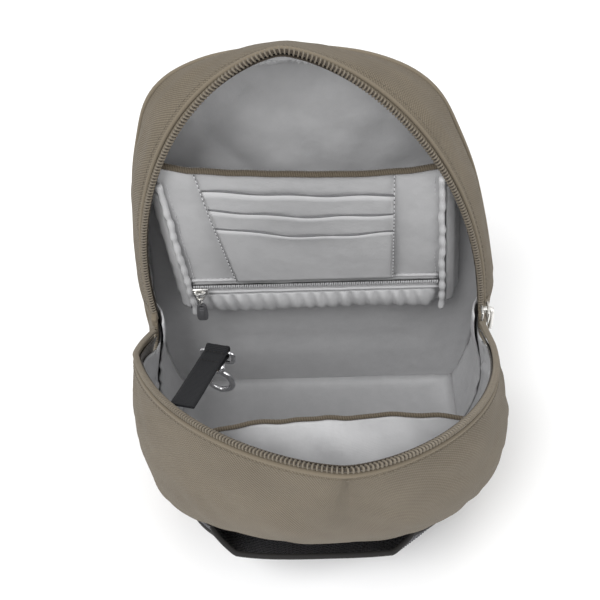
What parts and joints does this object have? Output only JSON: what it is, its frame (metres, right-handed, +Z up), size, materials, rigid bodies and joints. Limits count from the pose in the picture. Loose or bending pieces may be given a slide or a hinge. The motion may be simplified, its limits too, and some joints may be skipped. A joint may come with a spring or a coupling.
{
  "type": "zip-around day bag",
  "caption": "Small soft crossbody travel bag standing open on its base, with a fold-down front, back organiser, zips, inner pockets and a key leash.",
  "frame": {"origin": "middle of the base on its underside, where the bag stands", "axes": "+Z up, +Y out of the flat back panel, the front folds down towards -Y, +X to the wearer's view right when looking into the mouth"},
  "size_m": [0.198, 0.1938, 0.2872],
  "materials": {
    "fabric": "fine twill, dull",
    "lining": "smooth satin lining",
    "tape": "woven zip tape",
    "chain": "nylon coil",
    "binding": "ribbed tape",
    "steel": "polished nickel plate",
    "rubber": "moulded tab",
    "webbing": "woven webbing",
    "mesh": "elastic mesh"
  },
  "bodies": {
    "root": {"back_panel": "fabric", "base_panel": "fabric", "back_gusset": "fabric", "side_wall_left": "fabric", "side_wall_right": "fabric", "lower_front_panel": "fabric", "back_lining": "lining", "gusset_lining": "lining", "wall_lining": "lining", "base_lining": "lining", "gathered_band": "lining", "organiser_sheet": "lining", "card_slot_1": "lining", "card_slot_2": "lining", "card_slot_3": "lining", "organiser_piping_left": "lining", "organiser_piping_right": "lining", "organiser_bellows_left": "lining", "organiser_bellows_right": "lining", "pocket_tape_upper": "lining", "pocket_tape_lower": "lining", "pocket_zip_coil": "lining", "zip_pocket_bag": "lining", "back_zip_tape": "tape", "back_zip_chain": "chain", "zip_stop_left": "chain", "organiser_top_binding": "binding", "mesh_pocket": "mesh", "mesh_pocket_binding": "mesh"},
    "front_flap": {"front_panel": "fabric", "front_lining": "lining", "front_zip_tape": "tape", "front_zip_chain": "chain", "slip_pocket": "lining", "slip_pocket_binding": "binding", "slip_pocket_piping": "lining"},
    "main_slider": {"main_slider": "steel"},
    "main_pull": {"main_puller": "steel"},
    "pocket_slider": {"pocket_slider": "steel"},
    "pocket_link": {"pocket_link": "steel"},
    "pocket_tab": {"pocket_tab": "rubber"},
    "key_leash": {"leash_strap": "webbing"},
    "swivel_eye": {"swivel_eye": "steel"},
    "snap_hook": {"snap_hook": "steel"},
    "hook_gate": {"hook_gate": "steel"}
  },
  "joints": [
    {"name": "flap_fold", "type": "hinge", "parent": "root", "child": "front_flap", "pos_m": [0, 0.006, 0.107], "axis": [1, 0, 0], "range_deg": [-57, 0]},
    {"name": "main_slide", "type": "slide", "parent": "root", "child": "main_slider", "axis": [0, 0, 1], "range_m": [0, 0.005]},
    {"name": "main_pull_swing", "type": "hinge", "parent": "main_slider", "child": "main_pull", "pos_m": [0.0933, 0.006, 0.1123], "axis": [0, -1, 0], "range_deg": [0, 150]},
    {"name": "pocket_slide", "type": "slide", "parent": "root", "child": "pocket_slider", "axis": [1, 0, 0], "range_m": [0, 0.118]},
    {"name": "pocket_link_swing", "type": "hinge", "parent": "pocket_slider", "child": "pocket_link", "pos_m": [-0.06336, 0.01284, 0.123], "axis": [-1, 0, 0], "range_deg": [0, 120]},
    {"name": "pocket_tab_swing", "type": "hinge", "parent": "pocket_link", "child": "pocket_tab", "pos_m": [-0.06336, 0.01284, 0.1156], "axis": [-1, 0, 0], "range_deg": [0, 45]},
    {"name": "leash_sway", "type": "hinge", "parent": "front_flap", "child": "key_leash", "pos_m": [-0.064, -0.08, 0.157], "axis": [0.9746, -0.2241, 0], "range_deg": [-15, 30]},
    {"name": "eye_swing", "type": "hinge", "parent": "key_leash", "child": "swivel_eye", "pos_m": [-0.0525, -0.03, 0.129], "axis": [0.9746, -0.2241, 0], "range_deg": [-30, 30]},
    {"name": "hook_spin", "type": "hinge", "parent": "swivel_eye", "child": "snap_hook", "pos_m": [-0.0525, -0.03, 0.115], "axis": [0, 0, 1], "continuous": true},
    {"name": "gate_open", "type": "hinge", "parent": "snap_hook", "child": "hook_gate", "pos_m": [-0.05542, -0.02933, 0.1115], "axis": [-0.2241, -0.9746, 0], "range_deg": [0, 25], "stiffness_Nm_per_rad": 0.02, "springref_deg": -11.46}
  ]
}
